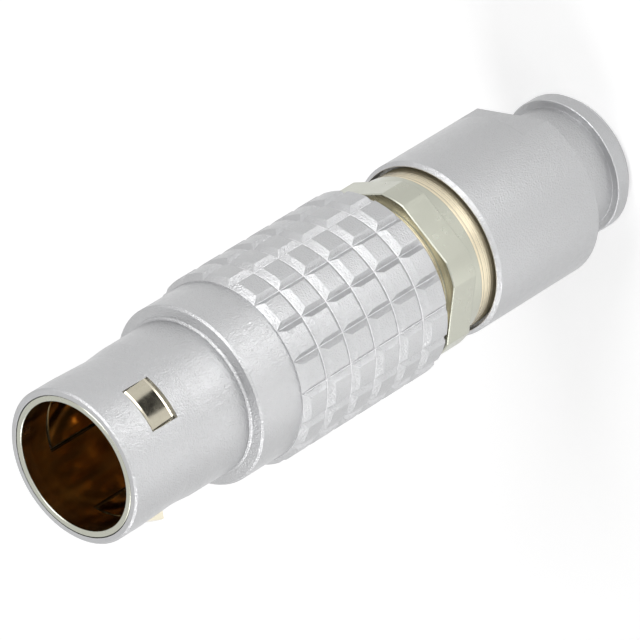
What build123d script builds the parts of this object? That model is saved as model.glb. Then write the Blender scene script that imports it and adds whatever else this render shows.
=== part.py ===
from build123d import *
import os
from math import cos, radians, sin, sqrt

# Straight push pull plug for a round cable, standing on its rear flange with the mouth up.
# All lengths are in millimetres. Depths are measured from the mouth face towards the rear.

# Latch sleeve: one turned piece from the mouth to the thread under the nut.
# Its walls are measured outwards from the bore.
sleeve_bore = 10.0
sleeve_front_wall = 0.45
sleeve_inner_chamfer = 0.06
sleeve_outer_chamfer = 0.05
guide_wall = 1.05
body_wall = 2.0
hexagon_sides = 6
hexagon_flat_depth = 0.5
hexagon_length = 2.4
hexagon_front_chamfer = 0.08
collar_step = 0.05
collar_length = 1.05
neck_wall = 1.37
neck_gap = 1.35
neck_in_nut = 0.55
thread_wall = 0.9
thread_length = 4.6
tail_bore_step = 0.5

# Outer shell: the sleeve that the hand pulls
sliding_clearance = 0.05
guide_clearance = 0.07
nose_wall = 0.5
nose_length = 11.9
nose_land = 2.15
waist_drop = 0.15
waist_depth = 5.75
waist_end = 7.6
lip_chamfer = 0.14
band_length = 4.3
shoulder_rise = 0.15
rim_chamfer = 0.15
shell_step_depth = 12.6
shell_travel = 1.0
stop_reserve = 0.2
bore_edge = 0.12

# Knurl of bevelled cells on the shell
knurl_rise = 0.5
knurl_depth = 0.4
knurl_pitch = 2.61
knurl_columns = 6
last_column_length = 2.3
ring_bevel = 0.5
flute_count = 18
flute_bevel = 0.42
flute_offset_angle = 4.5
knurl_rear_edge = 0.1
rear_land = 0.3
rear_land_drop = 0.05

# Latch windows and the fingers that show in them
latch_count = 3
first_latch_angle = 270.0
window_width = 3.56
window_front = 3.05
window_length = 2.65
latch_side_gap = 0.12
latch_face_gap = 0.1
latch_cam_slope = 1.0
latch_cam_length = 0.48
latch_rise = 0.44
latch_ridge_setback = 1.7
latch_land = 0.18
latch_rear_lean = 0.27
finger_lead = 0.2
finger_shoulder = 0.52
finger_root = 12.4
slit_width = 0.28
front_slit = 0.25
root_slit = 0.1

# Insert: two half shells round an insulator with ten contacts
seat_clearance = 0.05
half_shell_front = 8.6
half_shell_shoulder = 12.9
half_shell_lead = 0.2
half_shell_nose_relief = 0.5
half_shell_wall = 1.0
half_shell_flange = 1.75
half_shell_tail = 0.45
half_shell_split = 0.1
key_width = 1.1
key_height = 0.4
key_front = 15.5
insulator_front = 12.0
insulator_length = 10.0
insulator_flange_setback = 2.65
insulator_flange_length = 1.9
insulator_flange_height = 0.4
contact_diameter = 0.9
contact_tip_depth = 8.9
contact_tip_taper = 0.35
contact_shank = 1.3
contact_shank_length = 2.5
contact_tail = 3.4
cup_wall = 0.2
cup_depth = 2.4
contact_clearance = 0.02
ring_contact_count = 8
contact_edge = 1.1
inner_contact_share = 0.36

# Cable clamp: earthing cone and slotted collet, measured outwards from the cable
cable_passage = 7.0
earthing_flange = 1.0
earthing_cone_length = 3.4
earthing_root_wall = 1.0
earthing_tip_wall = 0.4
collet_bore_gap = 0.1
collet_head_gap = 0.1
collet_head_length = 5.1
collet_barrel_wall = 1.35
collet_barrel_length = 3.55
collet_taper_length = 2.6
collet_end_wall = 0.8
collet_slots = 4
collet_slot_width = 0.6
collet_cone_gap = 0.1

# Back nut, flush with the hexagon and the band
running_clearance = 0.08
nut_mouth_gap = 0.28
nut_front_chamfer = 0.28
nut_mouth_depth = 1.0
nut_body_length = 11.25
nut_flat_depth = 0.9
nut_flat_length = 2.7
nut_flat_angle = 320.0
thread_runout = 0.3
cable_hole_margin = 0.4
cable_hole_chamfer = 0.2
boot_neck_wall = 0.9
boot_neck_length = 4.1
flange_rise = 0.6
flange_length = 1.7
flange_taper = 0.4
flange_taper_length = 0.55
flange_front_chamfer = 0.06

# Depth that cutters run past a face
overrun = 1.0

# Radii worked out from the sizes above
sleeve_bore_radius = sleeve_bore / 2
sleeve_radius = sleeve_bore_radius + sleeve_front_wall
sleeve_wall_radius = (sleeve_radius + sleeve_bore_radius) / 2
guide_radius = sleeve_bore_radius + guide_wall
body_radius = sleeve_bore_radius + body_wall
hexagon_flat_radius = body_radius - hexagon_flat_depth
collar_radius = hexagon_flat_radius - collar_step
neck_radius = sleeve_bore_radius + neck_wall
thread_radius = sleeve_bore_radius + thread_wall
tail_bore_radius = sleeve_bore_radius + tail_bore_step
shell_bore_radius = sleeve_radius + sliding_clearance
nose_radius = shell_bore_radius + nose_wall
knurl_radius = body_radius + knurl_rise
knurl_root_radius = knurl_radius - knurl_depth
half_shell_radius = sleeve_bore_radius - seat_clearance
half_shell_bore_radius = half_shell_radius - half_shell_wall
insulator_radius = half_shell_bore_radius - seat_clearance
contact_ring_radius = insulator_radius - contact_edge
cable_radius = cable_passage / 2
collet_bore_radius = cable_radius + collet_bore_gap
collet_barrel_radius = collet_bore_radius + collet_barrel_wall
collet_end_radius = collet_bore_radius + collet_end_wall
cable_hole_radius = collet_bore_radius + cable_hole_margin
boot_neck_radius = cable_hole_radius + boot_neck_wall
flange_radius = boot_neck_radius + flange_rise

# Depths and widths worked out from the sizes above
band_end = nose_length + band_length
knurl_end = band_end + (knurl_columns - 1) * knurl_pitch + last_column_length
shell_length = knurl_end + rear_land
guide_front = shell_step_depth + shell_travel + stop_reserve
hexagon_front = shell_length + shell_travel + stop_reserve
hexagon_end = hexagon_front + hexagon_length
collar_end = hexagon_end + collar_length
nut_front = collar_end + neck_gap
neck_end = nut_front + neck_in_nut
thread_end = neck_end + thread_length
half_shell_end = collar_end + half_shell_tail
earthing_end = half_shell_end + earthing_flange
insulator_flange_depth = insulator_front + insulator_flange_setback
insulator_end = insulator_front + insulator_length
collet_head_end = earthing_end + collet_head_length
collet_taper_start = collet_head_end + collet_barrel_length
collet_taper_end = collet_taper_start + collet_taper_length
nut_end = nut_front + nut_body_length
flange_front = nut_end + boot_neck_length
total_length = flange_front + flange_length
finger_front = window_front - finger_lead
finger_width = window_width + 2 * finger_shoulder
latch_ridge_depth = window_front + latch_ridge_setback
latch_top_radius = nose_radius + latch_rise


def level(depth):
    """Returns the height over the standing face of a depth behind the mouth."""
    return total_length - depth


def turned(points):
    """Turns an outline of (radius, depth) points about the plug's axis."""
    outline = Polyline(*[(radius, level(depth)) for radius, depth in points], close=True)
    return revolve(Plane.XZ * make_face(outline), Axis.Z)


def slab(width, reach, front, rear):
    """Makes a plate in the +X half, seen end on as wide as width, from one depth to another."""
    height = rear - front
    plate = Box(reach, width, height, align=(Align.MIN, Align.CENTER, Align.MIN))
    return Pos(0, 0, level(rear)) * plate


def latch_angles():
    """Returns the directions of the latches about the axis."""
    return [first_latch_angle + 360 * index / latch_count for index in range(latch_count)]


def about_axis(shape, angle):
    """Turns a shape about the plug's axis."""
    return Rot(0, 0, angle) * shape


def shell_outline():
    """Lists the shell's outer outline, with one V groove before each knurl column."""
    points = [
        (nose_radius - lip_chamfer, 0),
        (nose_radius, lip_chamfer),
        (nose_radius, nose_land),
        (nose_radius - waist_drop, waist_depth),
        (nose_radius, waist_end),
        (nose_radius, nose_length),
        (body_radius - rim_chamfer, nose_length + shoulder_rise),
        (body_radius, nose_length + shoulder_rise + rim_chamfer),
        (body_radius, band_end),
    ]
    for column in range(knurl_columns):
        valley = band_end + column * knurl_pitch
        points.append((knurl_root_radius, valley))
        points.append((knurl_radius, valley + ring_bevel))
        if column < knurl_columns - 1:
            points.append((knurl_radius, valley + knurl_pitch - ring_bevel))
    land_radius = knurl_root_radius - rear_land_drop
    points.append((knurl_radius, knurl_end - knurl_rear_edge))
    points.append((knurl_radius - knurl_rear_edge, knurl_end))
    points.append((land_radius, knurl_end))
    points.append((land_radius, shell_length))
    return points


def flute_cutter():
    """Makes the long V cutter whose point runs along the foot of one flute."""
    rise = knurl_depth + overrun
    spread = flute_bevel * rise / knurl_depth
    corners = [(knurl_root_radius, 0), (knurl_root_radius + rise, spread), (knurl_root_radius + rise, -spread)]
    length = knurl_end - band_end + overrun
    wedge = extrude(make_face(Polyline(*corners, close=True)), length)
    return Pos(0, 0, level(band_end) - length) * wedge


def window_cutter():
    """Makes the cutter of a latch window, whose front wall has a cam chamfer inside the shell."""
    outer = nose_radius + overrun
    inner = shell_bore_radius - latch_face_gap
    land = sleeve_radius + (window_front - finger_front) * latch_cam_slope + latch_face_gap
    lean = (land - inner) / latch_cam_slope
    ring = turned([
        (outer, window_front),
        (land, window_front),
        (inner, window_front - lean),
        (inner, window_front + window_length),
        (outer, window_front + window_length),
    ])
    return ring & slab(window_width, outer, 0, shell_length)


def outer_shell():
    """Makes the sliding shell with its windows, band and knurl."""
    guide_bore = guide_radius + guide_clearance
    bore = [
        (guide_bore + bore_edge, shell_length),
        (guide_bore, shell_length - bore_edge),
        (guide_bore, shell_step_depth),
        (shell_bore_radius, shell_step_depth),
        (shell_bore_radius, 0),
    ]
    shell = turned(shell_outline() + bore)
    valley = first_latch_angle - flute_offset_angle
    for index in range(flute_count):
        shell -= about_axis(flute_cutter(), valley + 360 * index / flute_count)
    for angle in latch_angles():
        shell -= about_axis(window_cutter(), angle)
    return shell


def hexagon_waste():
    """Makes the ring of metal that the wrench flats take off the sleeve's collar."""
    blank = turned([
        (guide_radius, hexagon_front - overrun),
        (2 * body_radius, hexagon_front - overrun),
        (2 * body_radius, hexagon_end),
        (guide_radius, hexagon_end),
    ])
    turn = first_latch_angle + 180 / hexagon_sides
    hexagon = RegularPolygon(hexagon_flat_radius, hexagon_sides, major_radius=False, rotation=turn)
    core = extrude(hexagon, hexagon_length + 2 * overrun)
    return blank - Pos(0, 0, level(hexagon_end) - overrun) * core


def keyway(clearance):
    """Makes the key that stops the insert from turning, or with a clearance its slot."""
    height = half_shell_radius + key_height + clearance
    return slab(key_width + 2 * clearance, height, key_front - clearance, half_shell_end - half_shell_flange)


def latch_sleeve():
    """Makes the one piece inner sleeve: front ring, finger slots, hexagon, neck and tail."""
    sleeve = turned([
        (sleeve_radius - sleeve_outer_chamfer, 0),
        (sleeve_radius, sleeve_outer_chamfer),
        (sleeve_radius, guide_front),
        (guide_radius, guide_front),
        (guide_radius, hexagon_front),
        (body_radius, hexagon_front),
        (body_radius, hexagon_end),
        (collar_radius, hexagon_end),
        (collar_radius, collar_end),
        (neck_radius, collar_end),
        (neck_radius, neck_end),
        (thread_radius, neck_end),
        (thread_radius, thread_end),
        (tail_bore_radius, thread_end),
        (tail_bore_radius, half_shell_end - half_shell_flange),
        (sleeve_bore_radius, half_shell_end - half_shell_flange),
        (sleeve_bore_radius, sleeve_inner_chamfer),
        (sleeve_bore_radius + sleeve_inner_chamfer, 0),
    ])
    sleeve -= hexagon_waste()
    front_edges = sleeve.edges().filter_by_position(Axis.Z, level(hexagon_front), level(hexagon_front))
    rim = [edge for edge in front_edges if (edge @ 0.5).X ** 2 + (edge @ 0.5).Y ** 2 > collar_radius ** 2]
    sleeve = chamfer(rim, hexagon_front_chamfer)
    slot = slab(finger_width + 2 * slit_width, nose_radius, finger_front - front_slit, finger_root + root_slit)
    for angle in latch_angles():
        sleeve -= about_axis(slot, angle)
    return sleeve - about_axis(keyway(seat_clearance), first_latch_angle)


def latch_outline():
    """Lists the outline of the latch hook: cam, long ramp, ridge and rear face."""
    cam_end = sleeve_radius + latch_cam_length * latch_cam_slope
    return [
        (sleeve_wall_radius, finger_front),
        (sleeve_radius, finger_front),
        (cam_end, finger_front + latch_cam_length),
        (latch_top_radius, latch_ridge_depth),
        (latch_top_radius, latch_ridge_depth + latch_land),
        (sleeve_wall_radius, latch_ridge_depth + latch_land + latch_rear_lean),
    ]


def latch_finger():
    """Makes one spring finger with its hook, lying in the +X direction."""
    wall = turned([
        (sleeve_bore_radius, finger_front),
        (sleeve_radius, finger_front),
        (sleeve_radius, finger_root),
        (sleeve_bore_radius, finger_root),
    ])
    finger = wall & slab(finger_width, nose_radius, finger_front - overrun, finger_root + overrun)
    hook_width = window_width - 2 * latch_side_gap
    hook = turned(latch_outline()) & slab(hook_width, nose_radius + overrun, 0, finger_root)
    return finger + hook


def half_shell(upper):
    """Makes one half of the split insert shell."""
    nose = half_shell_radius - half_shell_nose_relief
    bore = half_shell_bore_radius
    groove = bore + insulator_flange_height
    groove_front = insulator_flange_depth - seat_clearance
    groove_end = insulator_flange_depth + insulator_flange_length + seat_clearance
    flange_start = half_shell_end - half_shell_flange
    body = turned([
        (nose, half_shell_front),
        (nose, half_shell_shoulder),
        (half_shell_radius, half_shell_shoulder + half_shell_lead),
        (half_shell_radius, flange_start),
        (tail_bore_radius - seat_clearance, flange_start),
        (tail_bore_radius - seat_clearance, half_shell_end),
        (groove, half_shell_end),
        (groove, insulator_end),
        (bore, insulator_end),
        (bore, groove_end),
        (groove, groove_end),
        (groove, groove_front),
        (bore, groove_front),
        (bore, half_shell_front),
    ])
    side = slab(2 * guide_radius, 2 * guide_radius, half_shell_front - overrun, half_shell_end + overrun)
    half = body & Pos(half_shell_split / 2, 0, 0) * side
    if upper:
        half += keyway(0) - turned([
            (0, half_shell_front),
            ((bore + half_shell_radius) / 2, half_shell_front),
            ((bore + half_shell_radius) / 2, half_shell_end),
            (0, half_shell_end),
        ])
        return about_axis(half, first_latch_angle)
    return about_axis(half, first_latch_angle + 180)


def contact_places():
    """Returns the places of the contacts: a ring and two in the middle."""
    ring = [
        (contact_ring_radius, 360 * (index + 1 / 2) / ring_contact_count)
        for index in range(ring_contact_count)
    ]
    inner_radius = inner_contact_share * contact_ring_radius
    middle = [(inner_radius, first_latch_angle + side) for side in (0, 180)]
    return [
        (radius * cos(radians(angle)), radius * sin(radians(angle)))
        for radius, angle in ring + middle
    ]


def insulator():
    """Makes the insulator that holds the contacts, with a stepped hole for each."""
    flange = insulator_radius + insulator_flange_height
    flange_end = insulator_flange_depth + insulator_flange_length
    block = turned([
        (0, insulator_front),
        (insulator_radius, insulator_front),
        (insulator_radius, insulator_flange_depth),
        (flange, insulator_flange_depth),
        (flange, flange_end),
        (insulator_radius, flange_end),
        (insulator_radius, insulator_end),
        (0, insulator_end),
    ])
    narrow = contact_diameter / 2 + contact_clearance
    wide = contact_shank / 2 + contact_clearance
    shank_front = insulator_end - contact_shank_length
    hole = turned([
        (0, insulator_front - overrun),
        (narrow, insulator_front - overrun),
        (narrow, shank_front),
        (wide, shank_front),
        (wide, insulator_end + overrun),
        (0, insulator_end + overrun),
    ])
    for x, y in contact_places():
        block -= Pos(x, y, 0) * hole
    return block


def contact_pin():
    """Makes one turned contact: tapered pin, shank and solder cup with an open side."""
    pin = contact_diameter / 2
    shank = contact_shank / 2
    shank_front = insulator_end - contact_shank_length
    tail_end = insulator_end + contact_tail
    body = turned([
        (0, contact_tip_depth),
        (pin - contact_tip_taper / 2, contact_tip_depth),
        (pin, contact_tip_depth + contact_tip_taper),
        (pin, shank_front),
        (shank, shank_front),
        (shank, tail_end),
        (shank - cup_wall, tail_end),
        (shank - cup_wall, tail_end - cup_depth),
        (0, tail_end - cup_depth),
    ])
    opening = slab(contact_shank, contact_shank, tail_end - cup_depth / 2, tail_end + overrun)
    return body - opening


def earthing_cone():
    """Makes the ring behind the half shells, with the cone that spreads the cable screen."""
    cone_end = earthing_end + earthing_cone_length
    return turned([
        (cable_radius, half_shell_end),
        (tail_bore_radius - seat_clearance, half_shell_end),
        (tail_bore_radius - seat_clearance, earthing_end),
        (cable_radius + earthing_root_wall, earthing_end),
        (cable_radius + earthing_tip_wall, cone_end),
        (cable_radius, cone_end),
    ])


def clamp_collet():
    """Makes the slotted collet that closes on the cable as the nut is tightened."""
    cone_end = earthing_end + earthing_cone_length
    head = tail_bore_radius - collet_head_gap
    body = turned([
        (cable_radius + earthing_root_wall + collet_cone_gap, earthing_end),
        (head, earthing_end),
        (head, collet_head_end),
        (collet_barrel_radius, collet_head_end),
        (collet_barrel_radius, collet_taper_start),
        (collet_end_radius, collet_taper_end),
        (collet_bore_radius, collet_taper_end),
        (collet_bore_radius, cone_end + collet_cone_gap),
        (cable_radius + earthing_tip_wall + collet_cone_gap, cone_end + collet_cone_gap),
    ])
    slot_front = collet_head_end + collet_slot_width
    slot = slab(collet_slot_width, 2 * body_radius, slot_front, collet_taper_end + overrun)
    for index in range(collet_slots):
        body -= about_axis(slot, first_latch_angle + 360 * index / collet_slots)
    return body


def nut_flat_waste():
    """Makes the two slices that the wrench flats take off the nut."""
    front = nut_end - nut_flat_length
    side = Pos(body_radius - nut_flat_depth, 0, 0) * slab(2 * body_radius, body_radius, front, nut_end + overrun)
    boot_core = turned([
        (0, front),
        (boot_neck_radius, front),
        (boot_neck_radius, nut_end + overrun),
        (0, nut_end + overrun),
    ])
    return side + about_axis(side, 180) - boot_core


def back_nut():
    """Makes the back nut with its thread bore, collet seat, wrench flats and boot flange."""
    mouth = neck_radius + nut_mouth_gap
    thread = thread_radius + running_clearance
    barrel = collet_barrel_radius + running_clearance
    seat_end = collet_taper_end + running_clearance
    nut = turned([
        (mouth, nut_front),
        (body_radius - nut_front_chamfer, nut_front),
        (body_radius, nut_front + nut_front_chamfer),
        (body_radius, nut_end),
        (boot_neck_radius, nut_end),
        (boot_neck_radius, flange_front),
        (flange_radius - flange_front_chamfer, flange_front),
        (flange_radius, flange_front + flange_front_chamfer),
        (flange_radius, total_length - flange_taper_length),
        (flange_radius - flange_taper, total_length),
        (cable_hole_radius + cable_hole_chamfer, total_length),
        (cable_hole_radius, total_length - cable_hole_chamfer),
        (cable_hole_radius, seat_end),
        (collet_end_radius + running_clearance, seat_end),
        (barrel, collet_taper_start),
        (barrel, thread_end + thread_runout),
        (thread, thread_end + thread_runout),
        (thread, nut_front + nut_mouth_depth),
        (mouth, nut_front + nut_mouth_depth),
    ])
    return nut - about_axis(nut_flat_waste(), nut_flat_angle)


def write_part(name, shape):
    """Writes one sub-part to its own file."""
    export_step(shape, os.path.join("parts", name + ".step"))


def main():
    """Writes every sub-part and prints the sizes that the joints need."""
    os.makedirs("parts", exist_ok=True)
    write_part("outer_shell", outer_shell())
    write_part("latch_sleeve", latch_sleeve())
    for index, angle in enumerate(latch_angles()):
        write_part(f"latch_finger_{index + 1}", about_axis(latch_finger(), angle))
    write_part("half_shell_upper", half_shell(True))
    write_part("half_shell_lower", half_shell(False))
    write_part("contact_insulator", insulator())
    pin = contact_pin()
    for index, (x, y) in enumerate(contact_places()):
        write_part(f"contact_pin_{index + 1:02d}", Pos(x, y, 0) * pin)
    write_part("earthing_cone", earthing_cone())
    write_part("clamp_collet", clamp_collet())
    write_part("back_nut", back_nut())
    finger_low = sqrt(sleeve_bore_radius**2 - finger_width**2 / 4)
    print("finger hinge at height", level(finger_root + root_slit / 2), "and radius", (sleeve_radius + finger_low) / 2)
    print("total length", total_length, "hexagon front", level(hexagon_front), "nut front", level(nut_front))


main()
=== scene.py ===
"""Finishes a straight push pull cable plug and sets it on a plain stage."""
from math import atan, cos, pi, radians, sin

import bmesh
import bpy
from mathutils import Matrix, Vector


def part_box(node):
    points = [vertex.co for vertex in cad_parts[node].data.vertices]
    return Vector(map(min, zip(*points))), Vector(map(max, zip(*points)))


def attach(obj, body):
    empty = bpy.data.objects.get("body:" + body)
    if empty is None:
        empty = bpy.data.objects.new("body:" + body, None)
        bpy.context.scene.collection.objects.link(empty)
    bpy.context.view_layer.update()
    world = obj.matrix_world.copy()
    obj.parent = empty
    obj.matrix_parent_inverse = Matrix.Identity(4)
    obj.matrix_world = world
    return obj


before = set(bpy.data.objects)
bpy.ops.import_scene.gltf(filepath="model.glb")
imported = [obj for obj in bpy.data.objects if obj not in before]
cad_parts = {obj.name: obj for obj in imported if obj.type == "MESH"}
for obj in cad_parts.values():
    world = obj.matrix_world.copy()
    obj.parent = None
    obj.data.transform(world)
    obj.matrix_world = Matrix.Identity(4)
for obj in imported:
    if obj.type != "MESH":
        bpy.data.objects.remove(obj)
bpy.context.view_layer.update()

bl_info = {
    "name": "Push Pull Cable Plug",
    "version": (1, 0, 0),
    "blender": (4, 5, 0),
    "location": "View3D > Sidebar > Cable Plug",
    "description": "Finishes a push pull cable plug in satin chrome and nickel, and sets its stage",
    "category": "Object",
}

MM = 0.001
UP = Vector((0, 0, 1))

# Pieces of the plug that share a finish
FINGERS = [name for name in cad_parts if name.startswith("latch_finger")]
PINS = [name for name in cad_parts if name.startswith("contact_pin")]
HALF_SHELLS = ["half_shell_upper", "half_shell_lower"]

# Heights and radii that the plug's own pieces give
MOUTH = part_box("outer_shell")[1].z
SHELL_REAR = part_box("outer_shell")[0].z
NUT_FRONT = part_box("back_nut")[1].z
SLEEVE_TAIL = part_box("latch_sleeve")[0].z
SHOULDER = MOUTH - 11.935 * MM
NOSE_RADIUS = 6.0 * MM
KNURL_FRONT = MOUTH - 16.2 * MM
KNURL_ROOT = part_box("outer_shell")[1].x - 0.4 * MM
HEXAGON_FRONT = SHELL_REAR - 1.2 * MM
COLLAR_END = NUT_FRONT + 1.35 * MM
NECK_END = NUT_FRONT - 0.55 * MM
THREAD_TOP = NECK_END - 0.35 * MM

# Soft borders between two finishes, and of the painted shade, each from its start to its end: heights
KNURL_REAR_BORDER = (SHELL_REAR + 0.3 * MM, SHELL_REAR + 0.32 * MM)
KNURL_FRONT_BORDER = (KNURL_FRONT - 0.3 * MM, KNURL_FRONT - 0.28 * MM)
HEXAGON_BORDER = (HEXAGON_FRONT + 0.02 * MM, HEXAGON_FRONT + 0.06 * MM)
LIP_BORDER = (MOUTH - 1.0 * MM, MOUTH - 0.9 * MM)
COLLAR_BORDER = (COLLAR_END - 0.06 * MM, COLLAR_END - 0.02 * MM)
NECK_SHADE_BORDER = (NUT_FRONT + 0.12 * MM, NUT_FRONT + 0.55 * MM)
TAIL_BORDER = (NECK_END - 0.1 * MM, NECK_END)
BORE_SHADE_BORDER = (MOUTH - 0.2 * MM, MOUTH - 0.08 * MM)

# Soft borders between two finishes, and of the painted highlight and shade: radii
ROOT_HIGHLIGHT_BORDER = (KNURL_ROOT + 0.01 * MM, KNURL_ROOT + 0.05 * MM)
BORE_BORDER = (5.02 * MM, 5.12 * MM)
LATHE_BORDER = (5.15 * MM, 5.25 * MM)

# Detail of the noise in clouds, in fine grain and in the bore's streaks
CLOUD_DETAIL = 3.0
GRAIN_DETAIL = 2.0
STREAK_DETAIL = 1.0

# The chrome's grain height and its clouds' size, as shares of the grain's size
CHROME_RELIEF = 0.48
CHROME_CLOUDS = 4

# Grain of the other finishes: size of its patches, and height
NICKEL_GRAIN = (0.06 * MM, 0.0006 * MM)
INNER_GRAIN = (0.08 * MM, 0.003 * MM)
PLASTIC_GRAIN = (0.1 * MM, 0.004 * MM)

# Size of the clouds in each finish
NICKEL_CLOUDS = 1.2 * MM
FINGER_CLOUDS = 0.6 * MM
INNER_CLOUDS = 1.5 * MM
PLASTIC_CLOUDS = 0.4 * MM

# Part of the noise that clouds take up, and how far they move a roughness to each side
CLOUD_RANGE = (0.3, 0.7)
CHROME_SWING = 0.06
METAL_SWING = 0.05
POLISH_SWING = 0.03

# Roughness of the finishes that are the same all over
HALF_SHELL_ROUGHNESS = 0.3
GOLD_ROUGHNESS = 0.22
BRASS_ROUGHNESS = 0.34
PLASTIC_ROUGHNESS = 0.5
MATT_ROUGHNESS = 0.9

# The painted bore shade's lighter streaks: size, how their pattern is drawn out along the bore, part of the
# noise, and lift
STREAK_SIZE = 0.9 * MM
STREAK_STRETCH = (1, 1, 0.12)
STREAK_RANGE = (0.4, 0.65)
STREAK_LIFT = 1.3

# Share of the light that the darker patches keep on the fingers and on the plastic
FINGER_SHADE = 0.9
PLASTIC_SHADE = 0.8

# Rays that look for the nearest edge at each point
EDGE_SAMPLES = 8

# The fillet at the shoulder: how far it sinks into the shell, as a share of its radius, and its steps
FILLET_SINK = 0.1
FILLET_STEPS = 6
FILLET_ROUND_STEPS = 160

# The thread: half its ridge's width, as a share of the pitch, and the steps of one turn
THREAD_HALF_WIDTH = 0.32
THREAD_STEPS = 40

# Soft lamps: name, direction and height in degrees, distance and side in metres, power in watts
LAMPS = (
    ("key_lamp", 308, 46, 0.55, 0.3, 1.07),
    ("front_lamp", 262, 28, 0.55, 0.32, 0.38),
    ("low_left_lamp", 205, 12, 0.6, 0.3, 0.41),
    ("far_left_lamp", 150, 40, 0.6, 0.3, 1.12),
)

# Bright pools on the floor: name, direction in degrees, distance and width in metres, power in watts
POOLS = (
    ("front_pool_lamp", 268, 0.066, 0.058, 34.8),
    ("left_pool_lamp", 200, 0.06, 0.08, 7.5),
)

# Radius of a pool lamp's glass, as a share of its height
POOL_LAMP_SHARE = 0.01

CARD_COLOUR = (0.02, 0.02, 0.02)

# Where the middle of the mouth stands in the picture, and one pixel's size there
PICTURE_CENTRE = (320, 320)
MOUTH_PIXEL = (73, 467)
PIXEL_SIZE = 0.06977 * MM

# The camera's sensor in millimetres, and the nearest and farthest that it sees in metres
SENSOR_WIDTH = 36
CLIP_START = 0.01
CLIP_END = 20


class PlugFinish(bpy.types.PropertyGroup):
    """Colours and surface sizes of the plug's metals and plastics."""

    chrome_colour: bpy.props.FloatVectorProperty(
        name="Chrome colour", description="Colour of the satin chrome on the shell and the nut",
        subtype="COLOR", size=3, min=0, max=1, default=(0.49, 0.492, 0.499),
    )
    chrome_roughness: bpy.props.FloatProperty(
        name="Chrome roughness", description="How matt the satin chrome is",
        subtype="FACTOR", min=0, max=1, default=0.34,
    )
    chrome_grain: bpy.props.FloatProperty(
        name="Chrome grain", description="Size of the fine blasted grain in the chrome",
        unit="LENGTH", precision=6, min=0.00001, default=0.00013,
    )
    # Painted highlight: thin lines at the knurl's roots are painted brighter than the chrome
    root_highlight_colour: bpy.props.FloatVectorProperty(
        name="Root highlight colour", description="Colour of the thin painted highlight lines at the roots of the knurl",
        subtype="COLOR", size=3, min=0, max=1, default=(0.74, 0.74, 0.75),
    )
    edge_radius: bpy.props.FloatProperty(
        name="Edge radius", description="Size of the rounding that tumbling leaves on the edges",
        unit="LENGTH", precision=6, min=0, default=0.00005,
    )
    fillet_radius: bpy.props.FloatProperty(
        name="Fillet radius", description="Radius of the small fillet at the foot of the shell's shoulder",
        unit="LENGTH", precision=5, min=0.00001, default=0.0002,
    )
    nickel_colour: bpy.props.FloatVectorProperty(
        name="Nickel colour", description="Colour of the nickel on the hexagon and the mouth's ring",
        subtype="COLOR", size=3, min=0, max=1, default=(0.475, 0.48, 0.413),
    )
    nickel_roughness: bpy.props.FloatProperty(
        name="Nickel roughness", description="How matt the nickel is on the hexagon",
        subtype="FACTOR", min=0, max=1, default=0.24,
    )
    polished_colour: bpy.props.FloatVectorProperty(
        name="Polished colour",
        description="Colour of the nickel where it is turned smooth, as on the neck",
        subtype="COLOR", size=3, min=0, max=1, default=(0.74, 0.66, 0.49),
    )
    lathe_pitch: bpy.props.FloatProperty(
        name="Lathe pitch", description="Spacing of the fine turned rings on the smooth nickel",
        unit="LENGTH", precision=6, min=0.00001, default=0.00016,
    )
    lathe_depth: bpy.props.FloatProperty(
        name="Lathe depth", description="Depth of the fine turned rings on the smooth nickel",
        unit="LENGTH", precision=7, min=0, default=0.00005,
    )
    polished_roughness: bpy.props.FloatProperty(
        name="Polished roughness", description="How matt the nickel is where it is turned smooth",
        subtype="FACTOR", min=0, max=1, default=0.18,
    )
    # Painted shade on the neck beside the nut, standing in for the nut's dark reflection
    neck_shade_colour: bpy.props.FloatVectorProperty(
        name="Neck shade colour", description="Painted shade, darker and browner, on the sleeve's neck beside the nut",
        subtype="COLOR", size=3, min=0, max=1, default=(0.68, 0.6, 0.43),
    )
    neck_roughness: bpy.props.FloatProperty(
        name="Neck roughness", description="How matt the sleeve's neck is beside the nut",
        subtype="FACTOR", min=0, max=1, default=0.42,
    )
    finger_colour: bpy.props.FloatVectorProperty(
        name="Finger colour", description="Colour of the smooth nickel on the latch fingers",
        subtype="COLOR", size=3, min=0, max=1, default=(0.6, 0.56, 0.45),
    )
    finger_roughness: bpy.props.FloatProperty(
        name="Finger roughness", description="How matt the latch fingers are",
        subtype="FACTOR", min=0, max=1, default=0.14,
    )
    # Painted shade: the dark brown that the bore and the fingers' inner faces are painted
    bore_shade_colour: bpy.props.FloatVectorProperty(
        name="Bore colour", description="Colour of the painted shade inside the sleeve",
        subtype="COLOR", size=3, min=0, max=1, default=(0.4, 0.25, 0.1),
    )
    thread_radius: bpy.props.FloatProperty(
        name="Thread radius", description="Radius at the foot of the thread on the sleeve's tail",
        unit="LENGTH", precision=5, min=0.001, default=0.00588,
    )
    thread_height: bpy.props.FloatProperty(
        name="Thread height", description="Height of the thread's ridge",
        unit="LENGTH", precision=6, min=0, default=0.00008,
    )
    thread_pitch: bpy.props.FloatProperty(
        name="Thread pitch", description="Pitch of the thread on the sleeve's tail",
        unit="LENGTH", precision=5, min=0.0001, default=0.0005,
    )
    brass_colour: bpy.props.FloatVectorProperty(
        name="Brass colour", description="Colour of the earthing cone and the collet",
        subtype="COLOR", size=3, min=0, max=1, default=(0.68, 0.54, 0.28),
    )
    gold_colour: bpy.props.FloatVectorProperty(
        name="Gold colour", description="Colour of the plated contacts",
        subtype="COLOR", size=3, min=0, max=1, default=(0.86, 0.62, 0.26),
    )
    insulator_colour: bpy.props.FloatVectorProperty(
        name="Insulator colour", description="Colour of the plastic that holds the contacts",
        subtype="COLOR", size=3, min=0, max=1, default=(0.42, 0.3, 0.17),
    )


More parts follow.
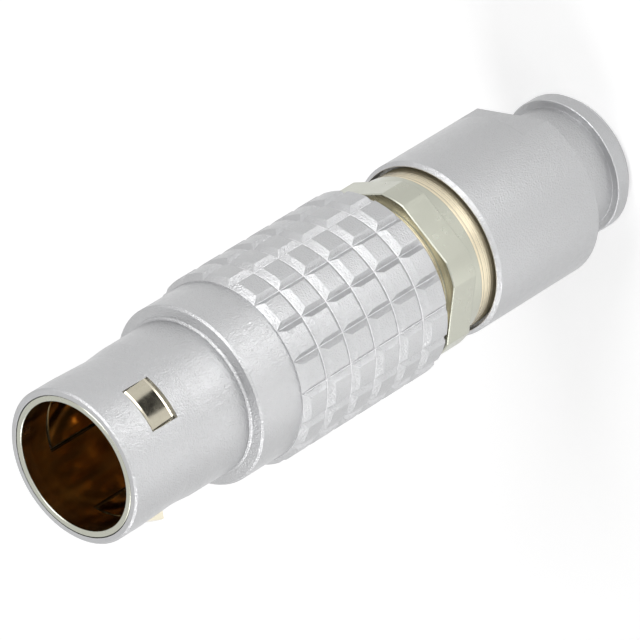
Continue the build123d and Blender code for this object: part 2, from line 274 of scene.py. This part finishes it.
class PlugStage(bpy.types.PropertyGroup):
    """Sizes, colours and lamp powers of the stage."""

    floor_size: bpy.props.FloatProperty(
        name="Floor size", description="Side of the square floor",
        unit="LENGTH", min=0.1, default=6.0,
    )
    floor_colour: bpy.props.FloatVectorProperty(
        name="Floor colour", description="Pale colour of the floor",
        subtype="COLOR", size=3, min=0, max=1, default=(0.86, 0.86, 0.86),
    )
    floor_glow: bpy.props.FloatProperty(
        name="Floor glow", description="What the floor adds towards white where it is looked at",
        min=0, default=0.345,
    )
    world_strength: bpy.props.FloatProperty(
        name="World strength", description="Brightness of the surroundings on the plug",
        min=0, default=0.38,
    )
    lamp_scale: bpy.props.FloatProperty(
        name="Lamp scale", description="Multiplies the power of every lamp",
        min=0, default=1.0,
    )
    pool_height: bpy.props.FloatProperty(
        name="Pool lamp height", description="Height of the lamps that make the bright pools",
        unit="LENGTH", min=0.01, default=0.5,
    )
    card_azimuth: bpy.props.FloatProperty(
        name="Card azimuth", description="Direction of the dark card, from +X",
        subtype="ANGLE", default=radians(276),
    )
    card_distance: bpy.props.FloatProperty(
        name="Card distance", description="Distance of the dark card from the plug's axis",
        unit="LENGTH", min=0.01, default=0.6,
    )
    card_width: bpy.props.FloatProperty(
        name="Card width", description="Width of the dark card",
        unit="LENGTH", min=0.001, default=0.26,
    )
    card_height: bpy.props.FloatProperty(
        name="Card height", description="Height of the dark card over the floor",
        unit="LENGTH", min=0.001, default=0.16,
    )
    lens: bpy.props.FloatProperty(
        name="Lens", description="Focal length of the camera",
        unit="CAMERA", min=1, default=424.7,
    )
    camera_azimuth: bpy.props.FloatProperty(
        name="Camera azimuth", description="Direction of the camera round the plug, from +X",
        subtype="ANGLE", default=radians(260.5),
    )
    camera_elevation: bpy.props.FloatProperty(
        name="Camera elevation", description="Height of the camera over the horizon",
        subtype="ANGLE", default=radians(39.2),
    )
    camera_roll: bpy.props.FloatProperty(
        name="Camera roll", description="Turn of the picture, which lays the standing plug over",
        subtype="ANGLE", default=radians(-121.5),
    )
    camera_distance: bpy.props.FloatProperty(
        name="Camera distance", description="Distance from the camera to the mouth",
        unit="LENGTH", min=0.01, default=0.5268,
    )


def direction(azimuth, elevation):
    """Returns the unit vector at that azimuth from +X and elevation, in radians."""
    level = cos(elevation)
    return Vector((level * cos(azimuth), level * sin(azimuth), sin(elevation)))


def shaded(colour, share):
    """Returns a colour with that share of its light."""
    return [share * value for value in colour]


class Surface:
    """One material's nodes, built from the plug's own coordinates."""

    def __init__(self, name):
        self.material = bpy.data.materials.new(name)
        self.material.use_nodes = True
        self.nodes = self.material.node_tree.nodes
        self.links = self.material.node_tree.links
        self.shader = self.nodes["Principled BSDF"]
        self.point = self.nodes.new("ShaderNodeTexCoord").outputs["Object"]

    def give(self, socket, value):
        """Feeds a socket from another socket, or sets it to a number or a colour."""
        if isinstance(value, bpy.types.NodeSocket):
            self.links.new(value, socket)
        elif socket.type == "RGBA":
            socket.default_value = (*value, 1)
        else:
            socket.default_value = value

    def feed(self, name, value):
        """Feeds one of the shader's own sockets."""
        self.give(self.shader.inputs[name], value)

    def noise(self, size, detail=CLOUD_DETAIL, point=None):
        """Returns noise whose patches are about as large as size, in metres."""
        node = self.nodes.new("ShaderNodeTexNoise")
        node.inputs["Scale"].default_value = 1 / size
        node.inputs["Detail"].default_value = detail
        self.links.new(point or self.point, node.inputs["Vector"])
        return node.outputs["Fac"]

    def part(self, axis):
        """Returns one coordinate of the point on the plug."""
        node = self.nodes.new("ShaderNodeSeparateXYZ")
        self.links.new(self.point, node.inputs[0])
        return node.outputs[axis]

    def maths(self, operation, *values):
        """Returns one sum of sockets or numbers."""
        node = self.nodes.new("ShaderNodeMath")
        node.operation = operation
        for socket, value in zip(node.inputs, values):
            self.give(socket, value)
        return node.outputs[0]

    def radius(self):
        """Returns the distance from the plug's axis."""
        across = self.maths("POWER", self.part("X"), 2)
        along = self.maths("POWER", self.part("Y"), 2)
        return self.maths("SQRT", self.maths("ADD", across, along))

    def ramp(self, value, start, end, low=0.0, high=1.0):
        """Returns value taken from start to end, given as low to high."""
        node = self.nodes.new("ShaderNodeMapRange")
        node.inputs["From Min"].default_value = start
        node.inputs["From Max"].default_value = end
        node.inputs["To Min"].default_value = low
        node.inputs["To Max"].default_value = high
        self.links.new(value, node.inputs["Value"])
        return node.outputs["Result"]

    def past(self, value, border):
        """Returns 1 where value is past a soft border, and 0 before it."""
        return self.ramp(value, *border)

    def before(self, value, border):
        """Returns 1 where value is before a soft border, and 0 past it."""
        return self.ramp(value, *border, 1.0, 0.0)

    def uneven(self, clouds, middle, swing):
        """Returns a number that clouds move a little to each side of its middle."""
        return self.ramp(clouds, *CLOUD_RANGE, middle - swing, middle + swing)

    def mix(self, kind, factor, first, second):
        """Returns a number (FLOAT) or a colour (RGBA) between two, by a factor from 0 to 1."""
        node = self.nodes.new("ShaderNodeMix")
        node.data_type = kind
        self.links.new(factor, node.inputs["Factor"])
        self.give(node.inputs["A"], first)
        self.give(node.inputs["B"], second)
        return node.outputs["Result"]

    def soft_edges(self, radius):
        """Lets light round the sharp edges off, before any bump is added."""
        node = self.nodes.new("ShaderNodeBevel")
        node.samples = EDGE_SAMPLES
        node.inputs["Radius"].default_value = radius
        self.links.new(node.outputs["Normal"], self.shader.inputs["Normal"])

    def bump(self, height, distance):
        """Lets a height move the surface's normal."""
        node = self.nodes.new("ShaderNodeBump")
        node.inputs["Strength"].default_value = 1.0
        node.inputs["Distance"].default_value = distance
        self.links.new(height, node.inputs["Height"])
        normal = self.shader.inputs["Normal"]
        if normal.is_linked:
            self.links.new(normal.links[0].from_socket, node.inputs["Normal"])
        self.links.new(node.outputs["Normal"], normal)

    def grain(self, size, height, detail=GRAIN_DETAIL):
        """Raises a fine grain of that size and height."""
        self.bump(self.noise(size, detail), height)


def dress(names, surface):
    """Gives nodes their material."""
    for name in names:
        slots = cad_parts[name].data.materials
        slots.clear()
        slots.append(surface.material)


def satin_chrome(finish):
    """Makes the blasted chrome: fine grain, faint clouds and painted highlight lines at the knurl's roots.
    """
    chrome = Surface("satin_chrome")
    chrome.feed("Metallic", 1.0)
    chrome.soft_edges(finish.edge_radius)
    height = chrome.part("Z")
    in_knurl = chrome.maths(
        "MULTIPLY", chrome.past(height, KNURL_REAR_BORDER), chrome.before(height, KNURL_FRONT_BORDER)
    )
    # Painted highlight: the knurl's roots are painted in a brighter colour than the chrome
    root_highlight = chrome.maths("MULTIPLY", chrome.before(chrome.radius(), ROOT_HIGHLIGHT_BORDER), in_knurl)
    chrome.feed("Base Color", chrome.mix("RGBA", root_highlight, finish.chrome_colour, finish.root_highlight_colour))
    clouds = chrome.noise(CHROME_CLOUDS * finish.chrome_grain)
    chrome.feed("Roughness", chrome.uneven(clouds, finish.chrome_roughness, CHROME_SWING))
    chrome.grain(finish.chrome_grain, CHROME_RELIEF * finish.chrome_grain)
    return chrome


def turned_zones(metal):
    """Returns 1 where the sleeve is turned smooth: on its guide, its neck and its tail."""
    height = metal.part("Z")
    guide = metal.maths("MULTIPLY", metal.past(height, HEXAGON_BORDER), metal.before(height, LIP_BORDER))
    return metal.maths("ADD", guide, metal.before(height, COLLAR_BORDER))


def cut_rings(metal, finish, zones):
    """Cuts fine turned rings into the metal's outside, in the zones given."""
    rings = metal.nodes.new("ShaderNodeTexNoise")
    rings.noise_dimensions = "1D"
    rings.inputs["Scale"].default_value = 1 / finish.lathe_pitch
    rings.inputs["Detail"].default_value = CLOUD_DETAIL
    metal.links.new(metal.part("Z"), rings.inputs["W"])
    turned = metal.maths("MULTIPLY", metal.past(metal.radius(), LATHE_BORDER), zones)
    metal.bump(metal.maths("MULTIPLY", rings.outputs["Fac"], turned), finish.lathe_depth)


def painted_bore_shade(metal, finish):
    """Returns the painted shade of the bore, dark brown with lighter streaks along the bore."""
    stretch = metal.nodes.new("ShaderNodeMapping")
    stretch.inputs["Scale"].default_value = STREAK_STRETCH
    metal.links.new(metal.point, stretch.inputs["Vector"])
    streaks = metal.noise(STREAK_SIZE, STREAK_DETAIL, stretch.outputs["Vector"])
    lighter = shaded(finish.bore_shade_colour, STREAK_LIFT)
    return metal.mix("RGBA", metal.ramp(streaks, *STREAK_RANGE), finish.bore_shade_colour, lighter)


def sleeve_metal(finish):
    """Makes the sleeve's nickel, smooth where it is turned, with painted shade beside the nut and painted
    shade in the bore.
    """
    metal = Surface("sleeve_nickel")
    metal.feed("Metallic", 1.0)
    metal.soft_edges(finish.edge_radius)
    turned = turned_zones(metal)
    height = metal.part("Z")
    by_nut = metal.maths("MULTIPLY", metal.before(height, NECK_SHADE_BORDER), metal.past(height, TAIL_BORDER))
    # Painted shade: the bore inside the sleeve is painted dark brown
    in_bore = metal.maths(
        "MULTIPLY", metal.before(metal.radius(), BORE_BORDER), metal.before(height, BORE_SHADE_BORDER)
    )
    clouds = metal.noise(NICKEL_CLOUDS)
    rough = metal.uneven(clouds, finish.nickel_roughness, METAL_SWING)
    smooth = metal.uneven(clouds, finish.polished_roughness, POLISH_SWING)
    gloss = metal.mix("FLOAT", turned, rough, smooth)
    metal.feed("Roughness", metal.mix("FLOAT", by_nut, gloss, finish.neck_roughness))
    colour = metal.mix("RGBA", turned, finish.nickel_colour, finish.polished_colour)
    # Painted shade: the neck beside the nut is painted darker and browner, standing in for the nut's dark
    # reflection
    with_neck_shade = metal.mix("RGBA", by_nut, colour, finish.neck_shade_colour)
    metal.feed("Base Color", metal.mix("RGBA", in_bore, with_neck_shade, painted_bore_shade(metal, finish)))
    metal.grain(*NICKEL_GRAIN)
    cut_rings(metal, finish, turned)
    return metal


def finger_metal(finish):
    """Makes the fingers' smooth nickel, with the same painted shade on their inner face."""
    metal = Surface("finger_nickel")
    metal.feed("Metallic", 1.0)
    clouds = metal.noise(FINGER_CLOUDS)
    metal.feed("Roughness", metal.uneven(clouds, finish.finger_roughness, POLISH_SWING))
    colour = metal.mix("RGBA", clouds, shaded(finish.finger_colour, FINGER_SHADE), finish.finger_colour)
    # Painted shade: the fingers' inner face is painted dark brown like the bore
    inner = metal.before(metal.radius(), BORE_BORDER)
    metal.feed("Base Color", metal.mix("RGBA", inner, colour, painted_bore_shade(metal, finish)))
    metal.grain(*NICKEL_GRAIN)
    return metal


def plain_metal(name, colour, roughness):
    """Makes the metal of an inner piece, of one colour with a faintly uneven gloss."""
    metal = Surface(name)
    metal.feed("Base Color", colour)
    metal.feed("Metallic", 1.0)
    metal.feed("Roughness", metal.uneven(metal.noise(INNER_CLOUDS), roughness, METAL_SWING))
    metal.grain(*INNER_GRAIN)
    return metal


def moulded_plastic(finish):
    """Makes the insulator's plastic, faintly mottled."""
    plastic = Surface("insulator_plastic")
    darker = shaded(finish.insulator_colour, PLASTIC_SHADE)
    mottle = plastic.mix("RGBA", plastic.noise(PLASTIC_CLOUDS), darker, finish.insulator_colour)
    plastic.feed("Base Color", mottle)
    plastic.feed("Roughness", PLASTIC_ROUGHNESS)
    plastic.grain(*PLASTIC_GRAIN, CLOUD_DETAIL)
    return plastic


def add_object(name, data):
    """Puts a mesh, a lamp or a camera into the scene, at the origin."""
    thing = bpy.data.objects.new(name, data)
    bpy.context.scene.collection.objects.link(thing)
    return thing


def add_mesh(mesh, name, material):
    """Puts a finished mesh into the scene in one material."""
    data = bpy.data.meshes.new(name)
    mesh.to_mesh(data)
    mesh.free()
    data.materials.append(material)
    return add_object(name, data)


def spin_round(mesh, geometry, turns, steps, rise, closed):
    """Spins geometry round the plug's axis, with a rise at each step."""
    bmesh.ops.spin(
        mesh, geom=geometry, cent=(0, 0, 0), axis=UP, angle=2 * pi * turns,
        dvec=(0, 0, rise), steps=steps, use_merge=closed,
    )


def finish_turned(mesh, name, body, node):
    """Makes a turned mesh an object in a node's material, which rides on a body."""
    bmesh.ops.recalc_face_normals(mesh, faces=mesh.faces)
    piece = add_mesh(mesh, name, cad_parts[node].data.materials[0])
    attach(piece, body)


def shoulder_fillet(finish):
    """Turns the small fillet at the foot of the shell's shoulder."""
    mesh = bmesh.new()
    radius = finish.fillet_radius
    sink = FILLET_SINK * radius
    ring = [mesh.verts.new((NOSE_RADIUS - sink, 0, SHOULDER - sink))]
    for step in range(FILLET_STEPS + 1):
        angle = pi / 2 * step / FILLET_STEPS
        across = NOSE_RADIUS + radius * (1 - cos(angle))
        ring.append(mesh.verts.new((across, 0, SHOULDER + radius * (1 - sin(angle)))))
    edges = [mesh.edges.new(pair) for pair in zip(ring, ring[1:] + ring[:1])]
    spin_round(mesh, ring + edges, 1, FILLET_ROUND_STEPS, 0, True)
    for face in mesh.faces:
        face.smooth = True
    finish_turned(mesh, "shoulder_fillet", "pull_shell", "outer_shell")


def tail_thread(finish):
    """Winds the fine thread's ridge round the sleeve's tail, under the back nut."""
    mesh = bmesh.new()
    half = THREAD_HALF_WIDTH * finish.thread_pitch
    profile = [
        mesh.verts.new((finish.thread_radius, 0, THREAD_TOP - half)),
        mesh.verts.new((finish.thread_radius + finish.thread_height, 0, THREAD_TOP)),
        mesh.verts.new((finish.thread_radius, 0, THREAD_TOP + half)),
    ]
    end = mesh.faces.new(profile)
    turns = int((THREAD_TOP - SLEEVE_TAIL) / finish.thread_pitch) - 1
    spin_round(
        mesh, [*profile, *end.edges, end], turns, THREAD_STEPS * turns,
        -finish.thread_pitch / THREAD_STEPS, False,
    )
    finish_turned(mesh, "tail_thread", "plug_body", "latch_sleeve")


class PLUG_OT_finish_shell(bpy.types.Operator):
    """Give the shell and the nut their satin chrome, and the shell its fillet"""

    bl_idname = "plug.finish_shell"
    bl_label = "Finish shell and nut"

    def execute(self, context):
        finish = context.scene.plug_finish
        dress(["outer_shell", "back_nut"], satin_chrome(finish))
        shoulder_fillet(finish)
        return {"FINISHED"}


class PLUG_OT_finish_sleeve(bpy.types.Operator):
    """Give the latch sleeve and its fingers their warm nickel, and the sleeve its thread"""

    bl_idname = "plug.finish_sleeve"
    bl_label = "Finish sleeve and latches"

    def execute(self, context):
        finish = context.scene.plug_finish
        dress(["latch_sleeve"], sleeve_metal(finish))
        dress(FINGERS, finger_metal(finish))
        tail_thread(finish)
        return {"FINISHED"}


class PLUG_OT_finish_insert(bpy.types.Operator):
    """Give the half shells, the insulator and the contacts their finish"""

    bl_idname = "plug.finish_insert"
    bl_label = "Finish insert"

    def execute(self, context):
        finish = context.scene.plug_finish
        dress(HALF_SHELLS, plain_metal("half_shell_nickel", finish.nickel_colour, HALF_SHELL_ROUGHNESS))
        dress(["contact_insulator"], moulded_plastic(finish))
        dress(PINS, plain_metal("contact_gold", finish.gold_colour, GOLD_ROUGHNESS))
        return {"FINISHED"}


class PLUG_OT_finish_clamp(bpy.types.Operator):
    """Give the earthing cone and the collet their brass"""

    bl_idname = "plug.finish_clamp"
    bl_label = "Finish cable clamp"

    def execute(self, context):
        brass = plain_metal("clamp_brass", context.scene.plug_finish.brass_colour, BRASS_ROUGHNESS)
        dress(["earthing_cone", "clamp_collet"], brass)
        return {"FINISHED"}


def seen_rays(nodes, links):
    """Returns 1 for rays of the camera, of gloss and of glass, and 0 for the rest."""
    path = nodes.new("ShaderNodeLightPath")
    either = path.outputs["Is Camera Ray"]
    for name in ("Is Glossy Ray", "Is Transmission Ray"):
        node = nodes.new("ShaderNodeMath")
        node.operation = "MAXIMUM"
        links.new(either, node.inputs[0])
        links.new(path.outputs[name], node.inputs[1])
        either = node.outputs[0]
    return either


def floor_paint(stage):
    """Makes the floor's matt paint, lifted towards white where it is looked at."""
    paint = Surface("floor_paint")
    nodes, links = paint.nodes, paint.links
    paint.feed("Base Color", stage.floor_colour)
    paint.feed("Roughness", MATT_ROUGHNESS)
    paint.feed("Specular IOR Level", 0.0)
    glow = nodes.new("ShaderNodeEmission")
    lift = paint.maths("MULTIPLY", seen_rays(nodes, links), stage.floor_glow)
    links.new(lift, glow.inputs["Strength"])
    total = nodes.new("ShaderNodeAddShader")
    links.new(paint.shader.outputs["BSDF"], total.inputs[0])
    links.new(glow.outputs["Emission"], total.inputs[1])
    links.new(total.outputs[0], nodes["Material Output"].inputs["Surface"])
    return paint.material


def square_sheet(width, height):
    """Returns a new flat mesh of that width and height round the origin."""
    mesh = bmesh.new()
    half_side = 0.5
    bmesh.ops.create_grid(mesh, x_segments=1, y_segments=1, size=half_side)
    bmesh.ops.scale(mesh, vec=(width, height, 1), verts=mesh.verts)
    return mesh


def make_floor(stage):
    """Lays a plain pale floor that shows white and keeps the plug's shadow."""
    floor = add_mesh(square_sheet(stage.floor_size, stage.floor_size), "floor", floor_paint(stage))


def light_world(stage):
    """Fills the surroundings with plain soft light, white where they are looked at."""
    world = bpy.data.worlds.new("studio")
    world.use_nodes = True
    nodes, links = world.node_tree.nodes, world.node_tree.links
    sky = nodes["Background"]
    strength = nodes.new("ShaderNodeMapRange")
    strength.inputs["To Min"].default_value = stage.world_strength
    strength.inputs["To Max"].default_value = 1.0
    links.new(seen_rays(nodes, links), strength.inputs["Value"])
    links.new(strength.outputs["Result"], sky.inputs["Strength"])
    sky.inputs["Color"].default_value = (1, 1, 1, 1)
    bpy.context.scene.world = world


def stand_card(stage):
    """Stands a dark card far before the plug, which only the plug's gloss sees, as a studio's flag."""
    mesh = square_sheet(stage.card_width, stage.card_height)
    bmesh.ops.translate(mesh, vec=(0, stage.card_height / 2, stage.card_distance), verts=mesh.verts)
    towards = direction(stage.card_azimuth, 0)
    turn = Matrix((UP.cross(towards), UP, towards)).transposed()
    bmesh.ops.transform(mesh, matrix=turn.to_4x4(), verts=mesh.verts)
    board = Surface("card_board")
    board.feed("Base Color", CARD_COLOUR)
    board.feed("Roughness", MATT_ROUGHNESS)
    card = add_mesh(mesh, "dark_card", board.material)
    card.visible_camera = False
    card.visible_diffuse = False
    card.visible_shadow = False


def hang_lamp(name, azimuth, elevation, distance, side, power):
    """Hangs one square soft lamp that faces the plug's middle."""
    lamp = bpy.data.lights.new(name, "AREA")
    lamp.shape = "SQUARE"
    lamp.size = side
    lamp.energy = power
    holder = add_object(name, lamp)
    towards = direction(radians(azimuth), radians(elevation))
    holder.location = MOUTH / 2 * UP + distance * towards
    holder.rotation_mode = "QUATERNION"
    holder.rotation_quaternion = (-towards).to_track_quat("-Z", "Y")


def light_pool(stage, name, azimuth, distance, width, power):
    """Makes a soft bright pool on the floor near the plug, which the plug's sides mirror."""
    lamp = bpy.data.lights.new(name, "SPOT")
    lamp.energy = power
    lamp.spot_size = 2 * atan(width / 2 / stage.pool_height)
    lamp.spot_blend = 1.0
    lamp.shadow_soft_size = POOL_LAMP_SHARE * stage.pool_height
    holder = add_object(name, lamp)
    holder.location = distance * direction(radians(azimuth), 0) + stage.pool_height * UP


def place_camera(stage):
    """Places the camera at the photograph's angle, with the mouth at its place in the picture."""
    back = direction(stage.camera_azimuth, stage.camera_elevation)
    level_right = UP.cross(back).normalized()
    level_up = back.cross(level_right)
    right = cos(stage.camera_roll) * level_right + sin(stage.camera_roll) * level_up
    up = back.cross(right)
    across = (PICTURE_CENTRE[0] - MOUTH_PIXEL[0]) * PIXEL_SIZE
    rise = (MOUTH_PIXEL[1] - PICTURE_CENTRE[1]) * PIXEL_SIZE
    eye = MOUTH * UP + across * right + rise * up + stage.camera_distance * back
    camera = bpy.data.cameras.new("camera")
    camera.lens = stage.lens
    camera.sensor_width = SENSOR_WIDTH
    camera.clip_start = CLIP_START
    camera.clip_end = CLIP_END
    holder = add_object("camera", camera)
    turn = Matrix((right, up, back)).transposed().to_4x4()
    holder.matrix_world = Matrix.Translation(eye) @ turn
    bpy.context.scene.camera = holder


class PLUG_OT_set_stage(bpy.types.Operator):
    """Set the floor, the surroundings, the lamps and the camera"""

    bl_idname = "plug.set_stage"
    bl_label = "Set stage"

    def execute(self, context):
        stage = context.scene.plug_stage
        make_floor(stage)
        light_world(stage)
        for name, azimuth, elevation, distance, side, power in LAMPS:
            hang_lamp(name, azimuth, elevation, distance, side, power * stage.lamp_scale)
        for name, azimuth, distance, width, power in POOLS:
            light_pool(stage, name, azimuth, distance, width, power * stage.lamp_scale)
        stand_card(stage)
        place_camera(stage)
        context.scene.view_settings.view_transform = "Standard"
        return {"FINISHED"}


STEPS = (
    PLUG_OT_finish_shell,
    PLUG_OT_finish_sleeve,
    PLUG_OT_finish_insert,
    PLUG_OT_finish_clamp,
    PLUG_OT_set_stage,
)


class PLUG_PT_steps(bpy.types.Panel):
    """Lists the steps that finish the plug"""

    bl_label = "Cable plug"
    bl_idname = "PLUG_PT_steps"
    bl_space_type = "VIEW_3D"
    bl_region_type = "UI"
    bl_category = "Cable Plug"

    def draw(self, context):
        for group in (context.scene.plug_finish, context.scene.plug_stage):
            box = self.layout.box()
            for name in group.__annotations__:
                box.prop(group, name)
        for step in STEPS:
            self.layout.operator(step.bl_idname)


CLASSES = (PlugFinish, PlugStage, *STEPS, PLUG_PT_steps)


def register():
    """Registers the classes and the scene's settings."""
    for item in CLASSES:
        bpy.utils.register_class(item)
    bpy.types.Scene.plug_finish = bpy.props.PointerProperty(type=PlugFinish)
    bpy.types.Scene.plug_stage = bpy.props.PointerProperty(type=PlugStage)


def unregister():
    """Removes what register added."""
    del bpy.types.Scene.plug_stage
    del bpy.types.Scene.plug_finish
    for item in reversed(CLASSES):
        bpy.utils.unregister_class(item)


def main():
    """Runs every step in order."""
    register()
    for step in STEPS:
        group, name = step.bl_idname.split(".")
        getattr(getattr(bpy.ops, group), name)()


if __name__ == "__main__":
    main()
